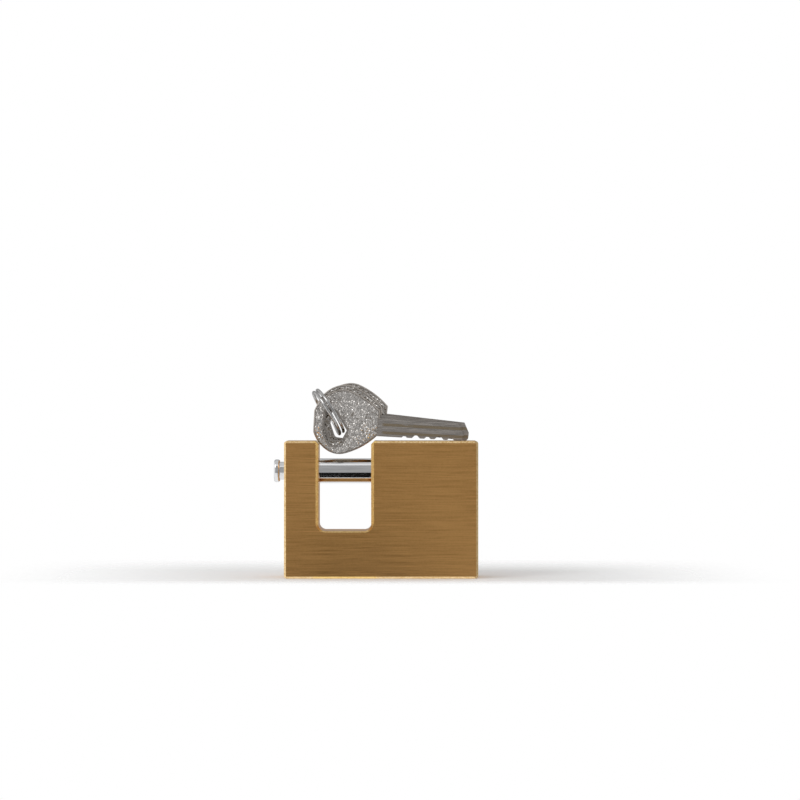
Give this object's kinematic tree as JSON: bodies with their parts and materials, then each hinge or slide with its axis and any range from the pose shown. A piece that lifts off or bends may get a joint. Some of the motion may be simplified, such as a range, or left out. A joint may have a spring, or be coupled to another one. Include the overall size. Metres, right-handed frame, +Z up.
{
  "type": "block padlock",
  "caption": "Brass block padlock: a straight sliding bolt crosses a U-shaped hasp window, locked by a pin tumbler cylinder, with grained keys on a split ring.",
  "frame": {"origin": "middle of the body's underside", "axes": "+X to the right along the bolt, away from its knob; +Y from the front face to the back; +Z up"},
  "size_m": [0.0739, 0.02, 0.0705],
  "materials": {
    "brass_body": "brushed along its length, bright bevels",
    "chrome_bolt": "polished",
    "cylinder_brass": "turned",
    "hard_steel": "ground",
    "spring_wire": "drawn wire",
    "nickel_key": "nickel plated, pebble grain on the bow",
    "ring_steel": "plated wire"
  },
  "bodies": {
    "lock_case": {"lock_body": "brass_body", "bolt_stop_pin": "hard_steel", "plug_retaining_pin": "hard_steel", "chamber_caps": "cylinder_brass", "pin_spring_1": "spring_wire", "pin_spring_2": "spring_wire", "pin_spring_3": "spring_wire", "pin_spring_4": "spring_wire", "pin_spring_5": "spring_wire"},
    "sliding_bolt": {"bolt": "chrome_bolt"},
    "key_cylinder": {"plug": "cylinder_brass", "locking_cam": "hard_steel"},
    "key_ring": {"split_ring": "ring_steel"},
    "front_key": {"key_1": "nickel_key"},
    "middle_key": {"key_2": "nickel_key"},
    "rear_key": {"key_3": "nickel_key"},
    "lower_pin_1": {"key_pin_1": "cylinder_brass"},
    "upper_pin_1": {"driver_pin_1": "cylinder_brass"},
    "lower_pin_2": {"key_pin_2": "cylinder_brass"},
    "upper_pin_2": {"driver_pin_2": "cylinder_brass"},
    "lower_pin_3": {"key_pin_3": "cylinder_brass"},
    "upper_pin_3": {"driver_pin_3": "cylinder_brass"},
    "lower_pin_4": {"key_pin_4": "cylinder_brass"},
    "upper_pin_4": {"driver_pin_4": "cylinder_brass"},
    "lower_pin_5": {"key_pin_5": "cylinder_brass"},
    "upper_pin_5": {"driver_pin_5": "cylinder_brass"}
  },
  "joints": [
    {"name": "bolt_slide", "type": "slide", "parent": "lock_case", "child": "sliding_bolt", "axis": [-1, 0, 0], "range_m": [0, 0.0453]},
    {"name": "plug_turn", "type": "hinge", "parent": "lock_case", "child": "key_cylinder", "pos_m": [0.0162, 0, 0.015], "axis": [0, 0, 1], "range_deg": [-90, 0]},
    {"name": "key_ring_lift", "type": "slide", "parent": "lock_case", "child": "key_ring", "axis": [0, 0, 1], "range_m": [0, 0.04]},
    {"name": "front_key_swing", "type": "hinge", "parent": "key_ring", "child": "front_key", "pos_m": [-0.0131, -0.00265, 0.05612], "axis": [0, -1, 0], "range_deg": [0, 75]},
    {"name": "middle_key_swing", "type": "hinge", "parent": "key_ring", "child": "middle_key", "pos_m": [-0.01245, 0, 0.05792], "axis": [0, -1, 0], "range_deg": [0, 60]},
    {"name": "rear_key_swing", "type": "hinge", "parent": "key_ring", "child": "rear_key", "pos_m": [-0.0105, 0.00265, 0.05852], "axis": [0, -1, 0], "range_deg": [0, 14]},
    {"name": "lower_pin_1_drop", "type": "slide", "parent": "key_cylinder", "child": "lower_pin_1", "axis": [0, -1, 0], "range_m": [0, 0.00235]},
    {"name": "lower_pin_2_drop", "type": "slide", "parent": "key_cylinder", "child": "lower_pin_2", "axis": [0, -1, 0], "range_m": [0, 0.00185]},
    {"name": "lower_pin_3_drop", "type": "slide", "parent": "key_cylinder", "child": "lower_pin_3", "axis": [0, -1, 0], "range_m": [0, 0.00215]},
    {"name": "lower_pin_4_drop", "type": "slide", "parent": "key_cylinder", "child": "lower_pin_4", "axis": [0, -1, 0], "range_m": [0, 0.00165]},
    {"name": "lower_pin_5_drop", "type": "slide", "parent": "key_cylinder", "child": "lower_pin_5", "axis": [0, -1, 0], "range_m": [0, 0.00205]},
    {"name": "upper_pin_1_push", "type": "slide", "parent": "lock_case", "child": "upper_pin_1", "axis": [1, 0, 0], "range_m": [0, 0.0022], "stiffness_N_per_m": 150, "springref_m": -0.002, "deforming": ["pin_spring_1"]},
    {"name": "upper_pin_2_push", "type": "slide", "parent": "lock_case", "child": "upper_pin_2", "axis": [1, 0, 0], "range_m": [0, 0.0022], "stiffness_N_per_m": 150, "springref_m": -0.002, "deforming": ["pin_spring_2"]},
    {"name": "upper_pin_3_push", "type": "slide", "parent": "lock_case", "child": "upper_pin_3", "axis": [1, 0, 0], "range_m": [0, 0.0022], "stiffness_N_per_m": 150, "springref_m": -0.002, "deforming": ["pin_spring_3"]},
    {"name": "upper_pin_4_push", "type": "slide", "parent": "lock_case", "child": "upper_pin_4", "axis": [1, 0, 0], "range_m": [0, 0.0022], "stiffness_N_per_m": 150, "springref_m": -0.002, "deforming": ["pin_spring_4"]},
    {"name": "upper_pin_5_push", "type": "slide", "parent": "lock_case", "child": "upper_pin_5", "axis": [1, 0, 0], "range_m": [0, 0.0022], "stiffness_N_per_m": 150, "springref_m": -0.002, "deforming": ["pin_spring_5"]}
  ]
}
